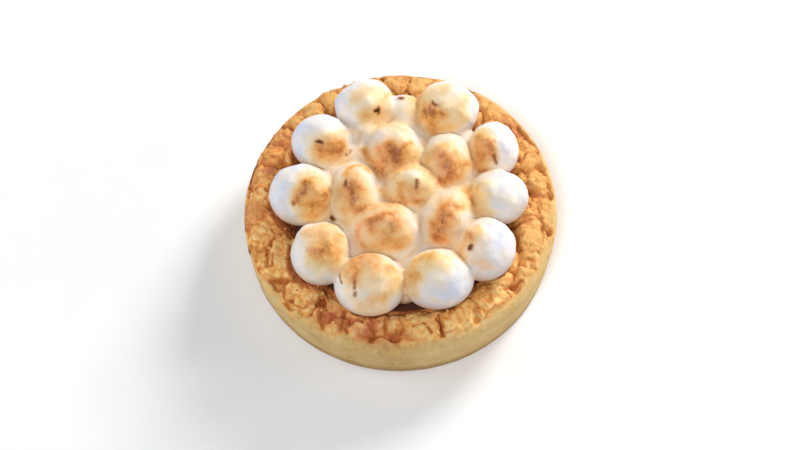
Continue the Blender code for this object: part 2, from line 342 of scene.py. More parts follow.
# Where the torch browned each dollop, in strokes. All in per cent: the places of a stroke's start, bend and
# end, its half width, strength and redness. A place is (across, up) as the camera sees it, and like the half
# width a share of the radius
TOASTS = {
    1: (
        (-60, 30, -45, 20, -40, 0, 21, 20, 10), (-45, -35, -10, -50, 25, -50, 21, 12, 20),
        (-90, 30, -100, 10, -90, -20, 18, 70, 10), (-70, 25, -65, 10, -65, -5, 14, 40, 0),
        (-65, 40, -45, 50, -25, 50, 21, 20, 10), (-90, -50, -70, -65, -45, -70, 14, 30, 60),
        (-45, -40, -35, -50, -25, -60, 18, 20, 0), (-85, -30, -80, -40, -65, -45, 14, 35, 20),
    ),
    2: (
        (-55, 45, -55, 15, -50, -25, 33, 80, 20), (-20, 30, -10, 5, -5, -30, 17, 60, 100),
        (-35, -70, -25, -80, -10, -90, 23, 50, 10), (-85, 30, -90, 0, -80, -40, 15, 30, 30),
        (-65, -60, -50, -70, -40, -75, 15, 50, 100),
    ),
    3: (
        (-10, 50, 10, 35, 25, 10, 24, 12, 30), (-95, 35, -80, 20, -70, 10, 27, 30, 10),
        (-125, 55, -115, 20, -95, -5, 27, 32, 20), (-70, -5, -50, -10, -25, -15, 27, 80, 10),
        (-60, -35, -55, -55, -40, -75, 21, 62, 10), (-80, 55, -50, 75, -10, 75, 27, 34, 20),
        (60, 45, 60, 20, 50, -5, 21, 34, 0), (15, -55, 35, -50, 55, -35, 21, 34, 0),
        (-50, -55, -30, -65, 0, -65, 17, 30, 30), (-110, -50, -105, -55, -95, -50, 14, 30, 100),
    ),
    4: (
        (-45, 25, -25, 15, -15, -15, 21, 12, 20), (70, 15, 80, -5, 75, -35, 25, 20, 30),
        (-25, 40, 15, 60, 55, 55, 32, 34, 30), (-5, -35, 15, -30, 40, -20, 21, 50, 10),
        (65, 30, 75, 40, 90, 45, 7, 47, 20), (50, 15, 70, 0, 60, -35, 21, 16, 20),
    ),
    5: (
        (-35, -30, -25, -50, -5, -70, 24, 16, 20), (70, -20, 80, -40, 75, -65, 21, 22, 20),
        (5, -25, 25, -20, 55, -20, 28, 78, 40), (0, -50, 25, -60, 50, -55, 24, 44, 30),
        (25, 15, 45, 10, 65, -10, 21, 36, 10), (60, 35, 75, 35, 95, 30, 9, 27, 50),
        (-15, -15, -10, -25, -5, -40, 14, 34, 30),
    ),
    6: (
        (25, 30, 40, 10, 45, -10, 26, 54, 0), (50, 45, 65, 35, 75, 20, 23, 28, 0),
        (-20, -45, -5, -65, 20, -85, 20, 14, 10), (15, 35, 5, 15, -5, -10, 18, 76, 10),
        (75, -5, 75, -25, 50, -45, 24, 60, 30), (25, -30, 25, -45, 30, -65, 21, 50, 0),
        (30, 50, 45, 50, 60, 50, 7, 38, 90), (65, 0, 75, 5, 90, 15, 12, 34, 0),
        (-10, 15, -20, 0, -20, -15, 13, 34, 70), (5, 70, 30, 70, 55, 65, 20, 18, 30),
        (20, -65, 50, -70, 80, -70, 16, 25, 10),
    ),
    7: (
        (-45, -25, -30, -45, -5, -70, 23, 16, 0), (20, 80, 50, 75, 70, 45, 23, 26, 30),
        (-40, 70, -5, 60, 50, 50, 26, 44, 70), (10, 20, 30, 20, 55, 5, 30, 76, 0),
        (-25, -5, -5, -15, 5, -25, 20, 46, 0), (-30, 15, -20, 10, -10, 15, 12, 38, 100),
        (55, 60, 65, 60, 75, 60, 8, 42, 30), (5, 90, 30, 90, 55, 90, 16, 36, 0),
        (30, -15, 40, -25, 50, -40, 20, 30, 30),
    ),
    8: (
        (-25, 25, 15, 20, 50, 20, 27, 24, 30), (-65, -20, -55, -40, -35, -60, 18, 14, 0),
        (-25, -65, 5, -75, 40, -65, 15, 22, 60), (-65, 40, -55, 70, 20, 65, 28, 64, 40),
        (-55, 75, -20, 90, 25, 80, 12, 50, 70), (-45, 50, -45, 40, -45, 25, 15, 58, 50),
        (-20, 40, 20, 40, 70, 45, 13, 26, 30), (50, 50, 60, 50, 70, 50, 8, 42, 10),
        (75, 30, 80, 15, 75, -5, 21, 40, 0), (5, -45, 25, -45, 45, -40, 16, 44, 50),
        (-20, 0, 0, -15, 30, -15, 18, 10, 0), (65, -15, 60, -25, 50, -35, 15, 22, 30),
        (-35, -80, 0, -92, 40, -85, 18, 34, 30),
    ),
    9: (
        (-40, 35, -20, 50, 15, 40, 27, 24, 10), (-90, -20, -90, -40, -80, -55, 12, 26, 70),
        (-20, -60, 5, -70, 40, -70, 15, 16, 60), (-75, 15, -70, 65, -25, 70, 23, 56, 0),
        (-25, 70, 5, 70, 30, 65, 18, 30, 0), (-75, 0, -75, -20, -70, -40, 20, 34, 40),
        (-90, 20, -100, -10, -90, -40, 12, 24, 50), (-65, 15, -60, 10, -60, 0, 11, 34, 20),
    ),
    10: (
        (-20, 40, -10, 15, -15, -15, 26, 14, 40), (-30, -45, -5, -60, 25, -60, 16, 14, 90),
        (-50, 45, -65, 20, -70, -20, 21, 55, 50), (-60, 55, -50, 40, -40, 30, 15, 40, 50),
        (-30, 75, -25, 70, -15, 55, 11, 40, 50), (-95, 15, -90, 0, -80, -20, 13, 22, 30),
        (0, -40, 5, -50, 10, -60, 16, 16, 100),
    ),
    11: (
        (-30, 10, -5, 5, 25, 5, 36, 49, 10), (0, 5, 5, -5, 5, -20, 15, 36, 40),
        (-35, -30, 0, -45, 40, -30, 14, 55, 40), (-45, 30, -50, 10, -45, -10, 15, 50, 0),
        (-60, 50, 0, 95, 75, 30, 10, 44, 10), (-95, -5, -80, -35, -50, -55, 10, 51, 20),
        (45, 50, 60, 30, 65, 0, 12, 32, 0), (-80, 35, -85, 5, -75, -25, 15, 25, 50),
    ),
    12: (
        (-15, 20, -5, 0, 0, -25, 35, 74, 90), (-50, 35, -30, 60, -5, 65, 21, 42, 0),
        (35, -5, 55, 0, 75, 0, 16, 60, 0), (-25, -50, 5, -55, 35, -40, 21, 62, 30),
        (20, 75, 25, 60, 25, 40, 9, 36, 10), (-70, 25, -65, 0, -50, -30, 15, 30, 0),
        (20, 35, 40, 20, 55, -5, 23, 34, 30),
    ),
    13: (
        (-20, 25, -5, 5, 0, -25, 24, 88, 40), (-5, 15, 20, 25, 45, 35, 11, 72, 30),
        (-45, -35, -5, -50, 45, -25, 30, 45, 10), (-60, 15, -55, 5, -45, -10, 22, 55, 90),
        (-105, -5, -80, -25, -45, -75, 13, 72, 50), (-45, -55, -35, -65, -35, -75, 17, 55, 90),
        (-65, 85, -30, 95, 15, 85, 30, 34, 30), (15, 100, 25, 100, 35, 100, 9, 42, 0),
        (30, 10, 55, 10, 70, -5, 26, 34, 10), (-55, 110, -20, 115, 5, 115, 10, 26, 50),
    ),
    14: (
        (-25, 80, -10, 70, 5, 40, 27, 46, 50), (-40, 70, -10, 100, 40, 85, 11, 58, 30),
        (-25, 25, -10, -10, 0, -45, 27, 80, 50), (20, 20, 35, -5, 35, -35, 24, 42, 10),
        (-45, -45, -40, -60, -25, -75, 20, 36, 0), (-55, 25, -50, -5, -40, -35, 16, 36, 10),
    ),
    15: (
        (-35, 85, 0, 92, 30, 82, 22, 48, 50), (-85, 10, -90, -10, -80, -35, 20, 46, 70),
        (-60, 30, -20, 60, 30, 45, 24, 76, 60), (-45, 15, -30, 5, -10, -5, 25, 50, 30),
        (-45, -40, 0, -50, 45, -40, 23, 44, 20), (35, 15, 55, 5, 65, -20, 21, 40, 40),
        (-75, -40, -55, -60, -25, -65, 10, 36, 10), (5, 20, 10, 10, 20, 5, 12, 40, 10),
        (-10, -20, 15, -30, 35, -30, 21, 38, 10),
    ),
    16: (
        (-5, 50, -20, 5, -30, -45, 33, 80, 50), (-55, -10, -45, -30, -40, -45, 17, 60, 50),
        (-35, -55, -30, -65, -15, -65, 15, 45, 100), (20, 45, 45, 45, 70, 45, 17, 48, 0),
        (5, 20, 20, 0, 15, -20, 15, 35, 60), (80, 55, 65, 65, 50, 70, 15, 25, 20),
    ),
}

# Scorched marks on a dollop: the dollop, then in per cent its start, end, half width and strength
SCORCHES = (
    (2, 0, -25, 10, -55, 6, 55), (2, -5, 35, 0, 25, 5, 30),
    (3, -50, 20, -25, 10, 6, 62), (3, -20, -15, -10, -15, 5, 35),
    (4, 30, -15, 45, -15, 5, 100), (4, 45, -5, 45, -30, 4, 70),
    (5, -15, 0, 0, 0, 6, 100), (5, 110, -55, 105, -70, 5, 45),
    (6, -25, -20, -25, -30, 4, 45), (6, 65, 0, 75, 5, 5, 30),
    (6, 85, 15, 90, 15, 5, 30), (7, -45, 25, -45, 15, 5, 30),
    (8, -45, 15, -45, -5, 5, 50), (8, -45, -20, -45, -30, 5, 50),
    (8, -90, 30, -85, 10, 5, 55), (10, -45, 10, -45, 5, 6, 85),
    (11, 15, 35, 15, 10, 6, 50), (13, -20, 10, -5, -10, 11, 22),
    (14, -40, 45, -40, 35, 7, 80), (15, 10, 20, 15, 5, 6, 28),
)

# Dots of painted shade in the deepest gaps between dollops: (x, y, half width, strength) from above, in mm
VALLEY_DOTS = (
    (-21.3, -7.6, 0.75, 1),
    (0.3, 33.2, 0.85, 0.85),
    (2.2, 31.2, 0.9, 0.2),
)

# Colours as the screen shows them, from 0 to 255. A row of tones is (place on the ramp, red, green, blue)
CRUST_TONES = ((0.20, 200, 114, 46), (0.38, 236, 158, 76), (0.56, 254, 187, 102), (0.84, 255, 217, 146))
WALL_TONES = ((0.32, 198, 152, 88), (0.46, 215, 178, 113), (0.56, 219, 186, 124), (0.70, 230, 201, 143))
CRUMB_TONES = ((0.20, 204, 130, 62), (0.50, 230, 160, 86), (0.85, 244, 190, 116))
CLEAN_TONES = ((0.32, 211, 216, 232), (0.46, 223, 222, 225), (0.58, 231, 222, 219), (0.70, 233, 224, 206))
GOLDEN_TONES = (
    (0.05, 240, 230, 210), (0.25, 240, 216, 174), (0.48, 237, 198, 134),
    (0.70, 228, 166, 90), (0.94, 170, 100, 42),
)
REDDISH_TONES = (
    (0.05, 242, 226, 212), (0.25, 241, 204, 172), (0.48, 239, 186, 136),
    (0.70, 230, 150, 92), (0.94, 176, 92, 48),
)
# Painted shade: the duller crust colour for the back and right, where the key light falls
DULL_CRUST = (222, 168, 98)
BROWNED_CRUST = (214, 134, 70)
RUDDY_CRUST = (196, 98, 60)
# Painted shade: the browns for cracks, hollows, gaps, creases, the crumbs' rim, the well and the places
# beside the dollops
CRACK_BROWN = (196, 112, 48)
DEEP_BROWN = (84, 40, 18)
FOOT_BROWN = (150, 108, 46)
# The meringue's cream, also used as painted shade in the valleys between dollops
CREAM = (228, 198, 158)
# Painted shade and painted warm reflection from the crust on the dollops' lower parts
LOW_TAN = (206, 168, 130)
# Painted shade in the narrow valleys between dollops
FOLD_TAN = (212, 164, 114)
# Browns of the real scorch marks, also used for the dots of painted shade in the gaps between dollops
SINGED_BROWN = (168, 102, 48)
SCORCHED_BROWN = (54, 30, 16)

# How values spread in the materials: (from, to), and what they turn into where that isn't 0 to 1
SPECKLE = (0.36, 0.64, 0.0, 0.44)
BROWNING = (0.58, 0.74, 0.0, 0.34)
CRACK_SPREAD = (0.12, 0.70)
DEEP_SPREAD = (0.74, 1.0)
FOOT_SPREAD = (0.0, 6.0 * MM, 0.90, 0.0)
CRUST_ROUGHNESS = (0.3, 0.7, 0.72, 0.92)
CRUMB_ROUGHNESS = (0.3, 0.7, 0.75, 0.92)
FLOOR_ROUGHNESS = (0.3, 0.7, 0.9, 0.95)
MERINGUE_ROUGHNESS = (0.0, 1.0, 0.56, 0.42)
UNEVEN_TOAST = (0.35, 0.65, 0.74, 1.22)
TOASTED_SPREAD = (0.02, 0.22)
SINGED_SPREAD = (0.06, 0.42)
SCORCHED_SPREAD = (0.40, 0.85)


# The repeatable numbers that the noises are made of
HASH_FACTORS = (374761393, 668265263, 2246822519)
HASH_SALT = 3266489917
HASH_MIXERS = ((29, 0xBF58476D1CE4E5B9), (32, 0x94D049BB133111EB))
HASH_BITS = 24
SEED_STEP = 5


def from_srgb(*channels):
    """A colour as the screen shows it, 0 to 255, as linear values for a shader."""
    shares = [value / 255.0 for value in channels]
    return (*(s / 12.92 if s <= 0.04045 else ((s + 0.055) / 1.055) ** 2.4 for s in shares), 1.0)


def fade(low, high, value):
    """From 0 at low to 1 at high, with soft ends."""
    t = np.clip((value - low) / (high - low), 0.0, 1.0)
    return t * t * (3.0 - 2.0 * t)


def bell(value, width):
    return np.exp(-((value / width) ** 2))


def lattice(cells, salt):
    """A repeatable number from 0 to 1 for each whole-number cell."""
    whole = cells.astype(np.int64).astype(np.uint64)
    mixed = np.full(len(whole), salt * HASH_SALT, dtype=np.uint64)
    for axis, factor in enumerate(HASH_FACTORS):
        mixed += whole[:, axis] * np.uint64(factor)
    for shift, factor in HASH_MIXERS:
        mixed = (mixed ^ (mixed >> np.uint64(shift))) * np.uint64(factor)
    return (mixed >> np.uint64(64 - HASH_BITS)).astype(float) / 2.0**HASH_BITS


def soft_noise(points, size, salt):
    """Smooth noise from -1 to 1, with features of about the given size."""
    place = points / size
    corner = np.floor(place)
    t = place - corner
    t = t * t * t * (t * (t * 6.0 - 15.0) + 10.0)
    total = np.zeros(len(points))
    for offset in itertools.product((0, 1), repeat=3):
        weight = np.prod(np.where(np.array(offset) == 1, t, 1.0 - t), axis=1)
        total += weight * lattice(corner + offset, salt)
    return 2.0 * total - 1.0


def noise(points, size, salt, layers=3):
    """Soft noise in layers, each half as large and half as strong as the one before."""
    total = np.zeros(len(points))
    for layer in range(layers):
        total += soft_noise(points, size / 2.0**layer, salt + layer) / 2.0**layer
    return total


def cell_noise(points, size, salt):
    """Distances to the nearest and next scattered centre, in units of size, and the nearest one's number."""
    place = points / size
    home = np.floor(place)
    first = np.full(len(points), 9.0)
    second = np.full(len(points), 9.0)
    tag = np.zeros(len(points))
    for offset in itertools.product((-1, 0, 1), repeat=3):
        cell = home + offset
        centre = cell + np.stack([lattice(cell, salt + axis) for axis in range(3)], axis=1)
        away = np.linalg.norm(centre - place, axis=1)
        closer = away < first
        second = np.where(closer, first, np.minimum(second, away))
        tag = np.where(closer, lattice(cell, salt + 3), tag)
        first = np.where(closer, away, first)
    return first, second, tag


def direction(bearing_degrees, tilt_degrees):
    bearing, tilt = math.radians(bearing_degrees), math.radians(tilt_degrees)
    sideways = math.sin(tilt)
    return np.array((sideways * math.cos(bearing), sideways * math.sin(bearing), math.cos(tilt)))


def add_object(name, data):
    added = bpy.data.objects.new(name, data)
    bpy.context.scene.collection.objects.link(added)
    return added


def mesh_object(name, points, faces):
    mesh = bpy.data.meshes.new(name)
    mesh.from_pydata(points.tolist(), [], faces)
    mesh.validate()
    piece = add_object(name, mesh)
    mesh.shade_smooth()
    return piece


def vertex_values(mesh, name):
    """The vertices' places ("co") or normals ("normal") as rows of three."""
    flat = np.empty(len(mesh.vertices) * 3)
    mesh.vertices.foreach_get(name, flat)
    return flat.reshape(-1, 3)


def keep_values(mesh, **values):
    """Stores one number for each point under each name, which the piece's material reads by that name."""
    for name, numbers in values.items():
        store = mesh.attributes.new(name, "FLOAT", "POINT")
        store.data.foreach_set("value", numbers.astype(np.float32))


class Nodes:
    """Short calls for making a material's nodes."""

    def __init__(self, name):
        self.material = bpy.data.materials.new(name)
        self.material.use_nodes = True
        self.tree = self.material.node_tree
        self.shader = self.tree.nodes["Principled BSDF"]

    def new(self, kind):
        return self.tree.nodes.new("ShaderNode" + kind)

    def link(self, source, target):
        self.tree.links.new(source, target)

    def fill(self, node, **numbers):
        """Sets a node's own sockets, with _ for a space in their names."""
        for name, number in numbers.items():
            node.inputs[name.replace("_", " ")].default_value = number

    def value(self, name):
        node = self.new("Attribute")
        node.attribute_name = name
        return node.outputs["Fac"]

    def values(self, *names):
        return [self.value(name) for name in names]

    def noise(self, size, detail=4.0, roughness=0.55):
        node = self.new("TexNoise")
        self.link(self.new("TexCoord").outputs["Object"], node.inputs["Vector"])
        self.fill(node, Scale=1.0 / size, Detail=detail, Roughness=roughness)
        return node.outputs["Fac"]

    def math(self, operation, a, b, clamp=False):
        node = self.new("Math")
        node.operation = operation
        node.use_clamp = clamp
        for socket, item in zip(node.inputs, (a, b)):
            if isinstance(item, (int, float)):
                socket.default_value = item
            else:
                self.link(item, socket)
        return node.outputs["Value"]

    def times(self, a, b, clamp=False):
        return self.math("MULTIPLY", a, b, clamp)

    def plus(self, a, b):
        return self.math("ADD", a, b)

    def spread(self, item, low, high, to_low=0.0, to_high=1.0):
        """Maps low..high to to_low..to_high, held at its ends."""
        node = self.new("MapRange")
        self.link(item, node.inputs["Value"])
        self.fill(node, From_Min=low, From_Max=high, To_Min=to_low, To_Max=to_high)
        return node.outputs["Result"]

    def ramp(self, item, stops):
        """Colours along a value: stops are (position, colour)."""
        node = self.new("ValToRGB")
        self.link(item, node.inputs["Fac"])
        elements = node.color_ramp.elements
        while len(elements) < len(stops):
            elements.new(0.5)
        for element, (position, colour) in zip(elements, stops):
            element.position = position
            element.color = colour
        return node.outputs["Color"]

    def tones(self, item, rows):
        """A ramp from rows of (position, red, green, blue)."""
        return self.ramp(item, [(position, from_srgb(*colour)) for position, *colour in rows])

    def mix(self, share, first, second):
        node = self.new("Mix")
        node.data_type = "RGBA"
        for socket, item in ((node.inputs[0], share), (node.inputs[6], first), (node.inputs[7], second)):
            if isinstance(item, (int, float, tuple)):
                socket.default_value = item
            else:
                self.link(item, socket)
        return node.outputs[2]

    def tint(self, share, below, colour):
        """Lays a screen colour over another one."""
        return self.mix(share, below, from_srgb(*colour))

    def bump(self, height, distance, strength, below=None):
        node = self.new("Bump")
        self.link(height, node.inputs["Height"])
        self.fill(node, Distance=distance, Strength=strength)
        if below is not None:
            self.link(below, node.inputs["Normal"])
        return node.outputs["Normal"]

    def finish(self, colour, roughness, normal):
        self.link(colour, self.shader.inputs["Base Color"])
        self.link(roughness, self.shader.inputs["Roughness"])
        self.link(normal, self.shader.inputs["Normal"])
        return self.material


def pastry_material():
    nodes = Nodes("baked_shortcrust")
    crumb, crevice, tag = nodes.values("crumb", "crevice", "tag")
    height, ruddy, dull = nodes.values("height", "ruddy", "duller")
    patches = nodes.noise(9.0 * MM, detail=3.0)
    mottle = nodes.noise(1.6 * MM, detail=5.0)
    tone = nodes.plus(nodes.times(tag, 0.54), nodes.spread(mottle, *SPECKLE))
    tone = nodes.plus(tone, nodes.times(patches, 0.18))
    golden = nodes.tones(tone, CRUST_TONES)
    # Painted shade: a darker, duller crust colour at the back and right, where the key light falls
    duller = nodes.tint(dull, golden, DULL_CRUST)
    browned = nodes.tint(nodes.spread(patches, *BROWNING), duller, BROWNED_CRUST)
    baked = nodes.tint(nodes.times(ruddy, 0.90), browned, RUDDY_CRUST)
    # Painted shade: darker browns in cracks, hollows, gaps, creases, along the crumbs' rim, in the well and
    # beside and under the dollops
    cracked = nodes.tint(nodes.spread(crevice, *CRACK_SPREAD), baked, CRACK_BROWN)
    deep = nodes.tint(nodes.spread(crevice, *DEEP_SPREAD), cracked, DEEP_BROWN)
    wall_tone = nodes.plus(nodes.times(patches, 0.6), nodes.times(mottle, 0.4))
    wall = nodes.tones(wall_tone, WALL_TONES)
    foot = nodes.tint(nodes.spread(height, *FOOT_SPREAD), wall, FOOT_BROWN)
    colour = nodes.mix(crumb, foot, deep)
    rough = nodes.spread(mottle, *CRUST_ROUGHNESS)
    knobs = nodes.bump(nodes.noise(2.2 * MM, detail=5.0, roughness=0.62), 0.9 * MM, 0.40)
    grain = nodes.noise(0.55 * MM, detail=6.0, roughness=0.7)
    bumpy = nodes.bump(grain, 0.30 * MM, 0.75, knobs)
    return nodes.finish(colour, rough, bumpy)


def crumb_material():
    nodes = Nodes("loose_crumb")
    tag = nodes.value("tag")
    mottle = nodes.noise(0.8 * MM, detail=3.0)
    golden = nodes.tones(nodes.plus(nodes.times(tag, 0.7), nodes.times(mottle, 0.4)), CRUMB_TONES)
    rough = nodes.spread(mottle, *CRUMB_ROUGHNESS)
    return nodes.finish(golden, rough, nodes.bump(mottle, 0.1 * MM, 0.5))


def meringue_material():
    nodes = Nodes("torched_meringue")
    toast, red, scorch, cream, low, fold = nodes.values("toast", "red", "scorch", "cream", "low", "fold")
    cloud = nodes.noise(3.2 * MM, detail=4.0)
    fine = nodes.noise(0.9 * MM, detail=5.0, roughness=0.6)
    uneven = nodes.plus(nodes.times(cloud, 0.65), nodes.times(fine, 0.35))
    browned = nodes.times(toast, nodes.spread(uneven, *UNEVEN_TOAST), clamp=True)
    clean = nodes.tones(nodes.noise(6.5 * MM, detail=2.0), CLEAN_TONES)
    # The cream tint: the inner meringue's own warmer colour, deepened in the valleys between dollops as
    # painted shade
    white = nodes.tint(cream, clean, CREAM)
    # Painted shade and painted warm reflection from the crust on the outer dollops' lower parts
    white = nodes.tint(nodes.times(low, 0.90), white, LOW_TAN)
    skin = nodes.mix(red, nodes.tones(browned, GOLDEN_TONES), nodes.tones(browned, REDDISH_TONES))
    coloured = nodes.mix(nodes.spread(browned, *TOASTED_SPREAD), white, skin)
    # Painted shade: a tan laid into the narrow valleys between dollops
    folded = nodes.tint(nodes.times(fold, 0.42), coloured, FOLD_TAN)
    # Real scorch marks, and dots of painted shade in the gaps between dollops, in the same browns
    singed = nodes.tint(nodes.spread(scorch, *SINGED_SPREAD), folded, SINGED_BROWN)
    colour = nodes.tint(nodes.spread(scorch, *SCORCHED_SPREAD), singed, SCORCHED_BROWN)
    rough = nodes.spread(browned, *MERINGUE_ROUGHNESS)
    pores = nodes.noise(0.5 * MM, detail=4.0, roughness=0.6)
    nodes.fill(nodes.shader, Specular_IOR_Level=0.35, Subsurface_Weight=0.22)
    nodes.fill(nodes.shader, Subsurface_Radius=(1.0, 0.8, 0.6), Subsurface_Scale=1.5 * MM)
    return nodes.finish(colour, rough, nodes.bump(pores, 0.06 * MM, 0.5))


def arc(centre_r, centre_z, radius, start, end, count):
    """Points (r, z) along an arc, with angles in degrees from the outward direction."""
    points = []
    for i in range(count):
        angle = math.radians(start + (end - start) * i / (count - 1))
        points.append((centre_r + radius * math.cos(angle), centre_z + radius * math.sin(angle)))
    return points


def ridge_height(distance):
    """Height of the crumbly edge before its lumps: a low ridge that falls to the case's inner edge."""
    across = (distance - CRUMB_INNER_RADIUS) / CRUMB_BAND
    hump = RIDGE_RISE * math.sin(math.pi * min(1.0, max(0.0, across)))
    drop = INNER_EDGE_DROP * (1.0 - float(fade(0.0, INNER_SLOPE_SHARE, across)))
    return CRUST_HEIGHT + hump - drop


def case_profile():
    """The case's section as (r, z), from the centre of its top to the centre of its base."""
    points = [(0.0, FILLING_LEVEL)]
    floor_edge = CRUMB_INNER_RADIUS - WELL_WALL_SPREAD
    points += [(floor_edge * share, FILLING_LEVEL) for share in WELL_RINGS]
    rings = round(CRUMB_BAND / BAND_SPACING)
    for i in range(rings + 1):
        distance = CRUMB_INNER_RADIUS + CRUMB_BAND * i / rings
        points.append((distance, ridge_height(distance)))
    shoulder_r, shoulder_z = CRUST_RADIUS - SHOULDER_ROUNDING, CRUST_HEIGHT - SHOULDER_ROUNDING
    points += arc(shoulder_r, shoulder_z, SHOULDER_ROUNDING, *SHOULDER_ARC)
    levels = round((shoulder_z - FOOT_ROUNDING) / WALL_SPACING)
    for i in range(1, levels):
        down = i / levels
        z = shoulder_z + (FOOT_ROUNDING - shoulder_z) * down
        points.append((CRUST_RADIUS + (FOOT_RADIUS - CRUST_RADIUS) * down, z))
    points += arc(FOOT_RADIUS - FOOT_ROUNDING, FOOT_ROUNDING, FOOT_ROUNDING, *FOOT_ARC)
    points += [(FOOT_RADIUS * share, 0.0) for share in BASE_RINGS]
    points.append((0.0, 0.0))
    return points


def turned_mesh(profile, columns):
    """The profile turned round the pie's axis: points ring by ring, with one point at each pole."""
    bearings = np.arange(columns) * TURN / columns
    points = [(0.0, 0.0, profile[0][1])]
    for r, z in profile[1:-1]:
        points += zip(r * np.cos(bearings), r * np.sin(bearings), np.full(columns, z))
    points.append((0.0, 0.0, profile[-1][1]))
    rings = len(profile) - 2
    faces = []
    for column in range(columns):
        beside = (column + 1) % columns
        faces.append((0, 1 + column, 1 + beside))
        for ring in range(rings - 1):
            upper, lower = 1 + ring * columns, 1 + (ring + 1) * columns
            faces.append((upper + beside, upper + column, lower + column, lower + beside))
        last = 1 + (rings - 1) * columns
        faces.append((last + beside, last + column, len(points) - 1))
    return np.array(points), faces


def lump_centres():
    """(x, y, rise) of each lump of the crumbly edge."""
    chance = random.Random(LUMP_SEED)
    lumps = []
    for distance, count in LUMP_ROWS:
        offset = chance.random()
        for i in range(count):
            bearing = TURN * (i + offset + chance.uniform(-1.0, 1.0) * LUMP_BEARING_STRAY) / count
            away = distance + chance.uniform(-1.0, 1.0) * LUMP_STRAY
            rise = LUMP_RISE + chance.uniform(-1.0, 1.0) * LUMP_UNEVENNESS
            lumps.append((away * math.cos(bearing), away * math.sin(bearing), rise))
    return np.array(lumps)


def warp_noise(points, size, seed, axes):
    """Noise that moves points along the first axes, one column for each."""
    return np.stack([noise(points, size, seed + axis * SEED_STEP) for axis in range(axes)], axis=1)


def lump_relief(points, lumps):
    """At each point: height of the lumps over the ridge, crack, the lump's own number, and crease."""
    warp = warp_noise(points, WARP_SIZE, WARP_SEED, 2)
    flat = points[:, :2] + warp * WARP_REACH
    away = np.linalg.norm(flat[:, None, :] - lumps[None, :, :2], axis=2)
    order = np.argsort(away, axis=1)[:, :2]
    rows = np.arange(len(points))
    nearest, second = away[rows, order[:, 0]], away[rows, order[:, 1]]
    domes = lumps[None, :, 2] * (1.0 - (away / LUMP_HALF_WIDTH) ** DOME_POWER)
    highest = np.maximum(domes.max(axis=1), 0.0)
    crack = bell(second - nearest, CRACK_WIDTH)
    crease = np.zeros(len(points))
    for x, y, half_across, half_along, turn, rise in EDGE_BLOCKS:
        east, north = flat[:, 0] / MM - x, flat[:, 1] / MM - y
        cosine, sine = math.cos(math.radians(turn)), math.sin(math.radians(turn))
        across = np.abs(east * cosine + north * sine) / half_across
        along = np.abs(north * cosine - east * sine) / half_along
        reach = (across**BLOCK_POWER + along**BLOCK_POWER) ** (1.0 / BLOCK_POWER)
        inside = fade(*BLOCK_FADE, reach)
        crown = rise * MM * (1.0 - BLOCK_CROWN * np.minimum(reach, 1.0) ** 4)
        highest = highest + (crown - highest) * inside
        crack = crack * (1.0 - inside)
        crease = np.maximum(crease, BLOCK_CREASE * bell(reach - BLOCK_RIM, BLOCK_EDGE))
    for x_start, y_start, x_end, y_end, half_width, strength in CREASES:
        start, run = np.array((x_start, y_start)), np.array((x_end - x_start, y_end - y_start))
        from_start = (points[:, :2] + CREASE_WARP * (flat - points[:, :2])) / MM - start
        share = np.clip(from_start @ run / (run @ run), 0.0, 1.0)
        away = np.linalg.norm(from_start - share[:, None] * run, axis=1)
        crease = np.maximum(crease, strength * bell(away, half_width + CREASE_WIDENING))
    tag = lattice(np.stack([order[:, 0]] * 3, axis=1), LUMP_NUMBER_SEED)
    return highest - LUMP_FOOT, crack, tag, crease


def dollop_layout():
    """Centre, radius and tip direction of each dollop."""
    centres, radii, tips = [], [], []
    for bearing, distance, radius, lean_bearing, lean, _, _ in DOLLOPS:
        angle = math.radians(bearing)
        x, y = distance * MM * math.cos(angle), distance * MM * math.sin(angle)
        centres.append((x, y, DOLLOP_CENTRE_HEIGHT))
        radii.append(radius * MM + INNER_SPREAD * (len(centres) >= INNER_FROM))
        tips.append(direction(lean_bearing, lean))
    return np.array(centres), np.array(radii), np.array(tips)


CENTRES, RADII, TIPS = dollop_layout()


def crumb_limit(bearing):
    """Distance from the centre where the crumbs end, by bearing in radians."""
    level = LIMIT_DISTANCE - LIMIT_LEFTWARD * np.cos(bearing) + LIMIT_BACKWARD * np.sin(bearing)
    return level + LIMIT_SIDES * np.cos(bearing) ** 2


def ruddy_share(points):
    """Where the edge is baked redder: patches at the front left and left, from 0 to 1."""
    share = np.zeros(len(points))
    for x, y, spread, strength in RUDDY_PATCHES:
        away = np.hypot(points[:, 0] / MM - x, points[:, 1] / MM - y)
        share = np.maximum(share, strength * bell(away, spread))
    return np.clip(share * (1.0 + RUDDY_UNEVENNESS * noise(points, *RUDDY_NOISE)), 0.0, 1.0)


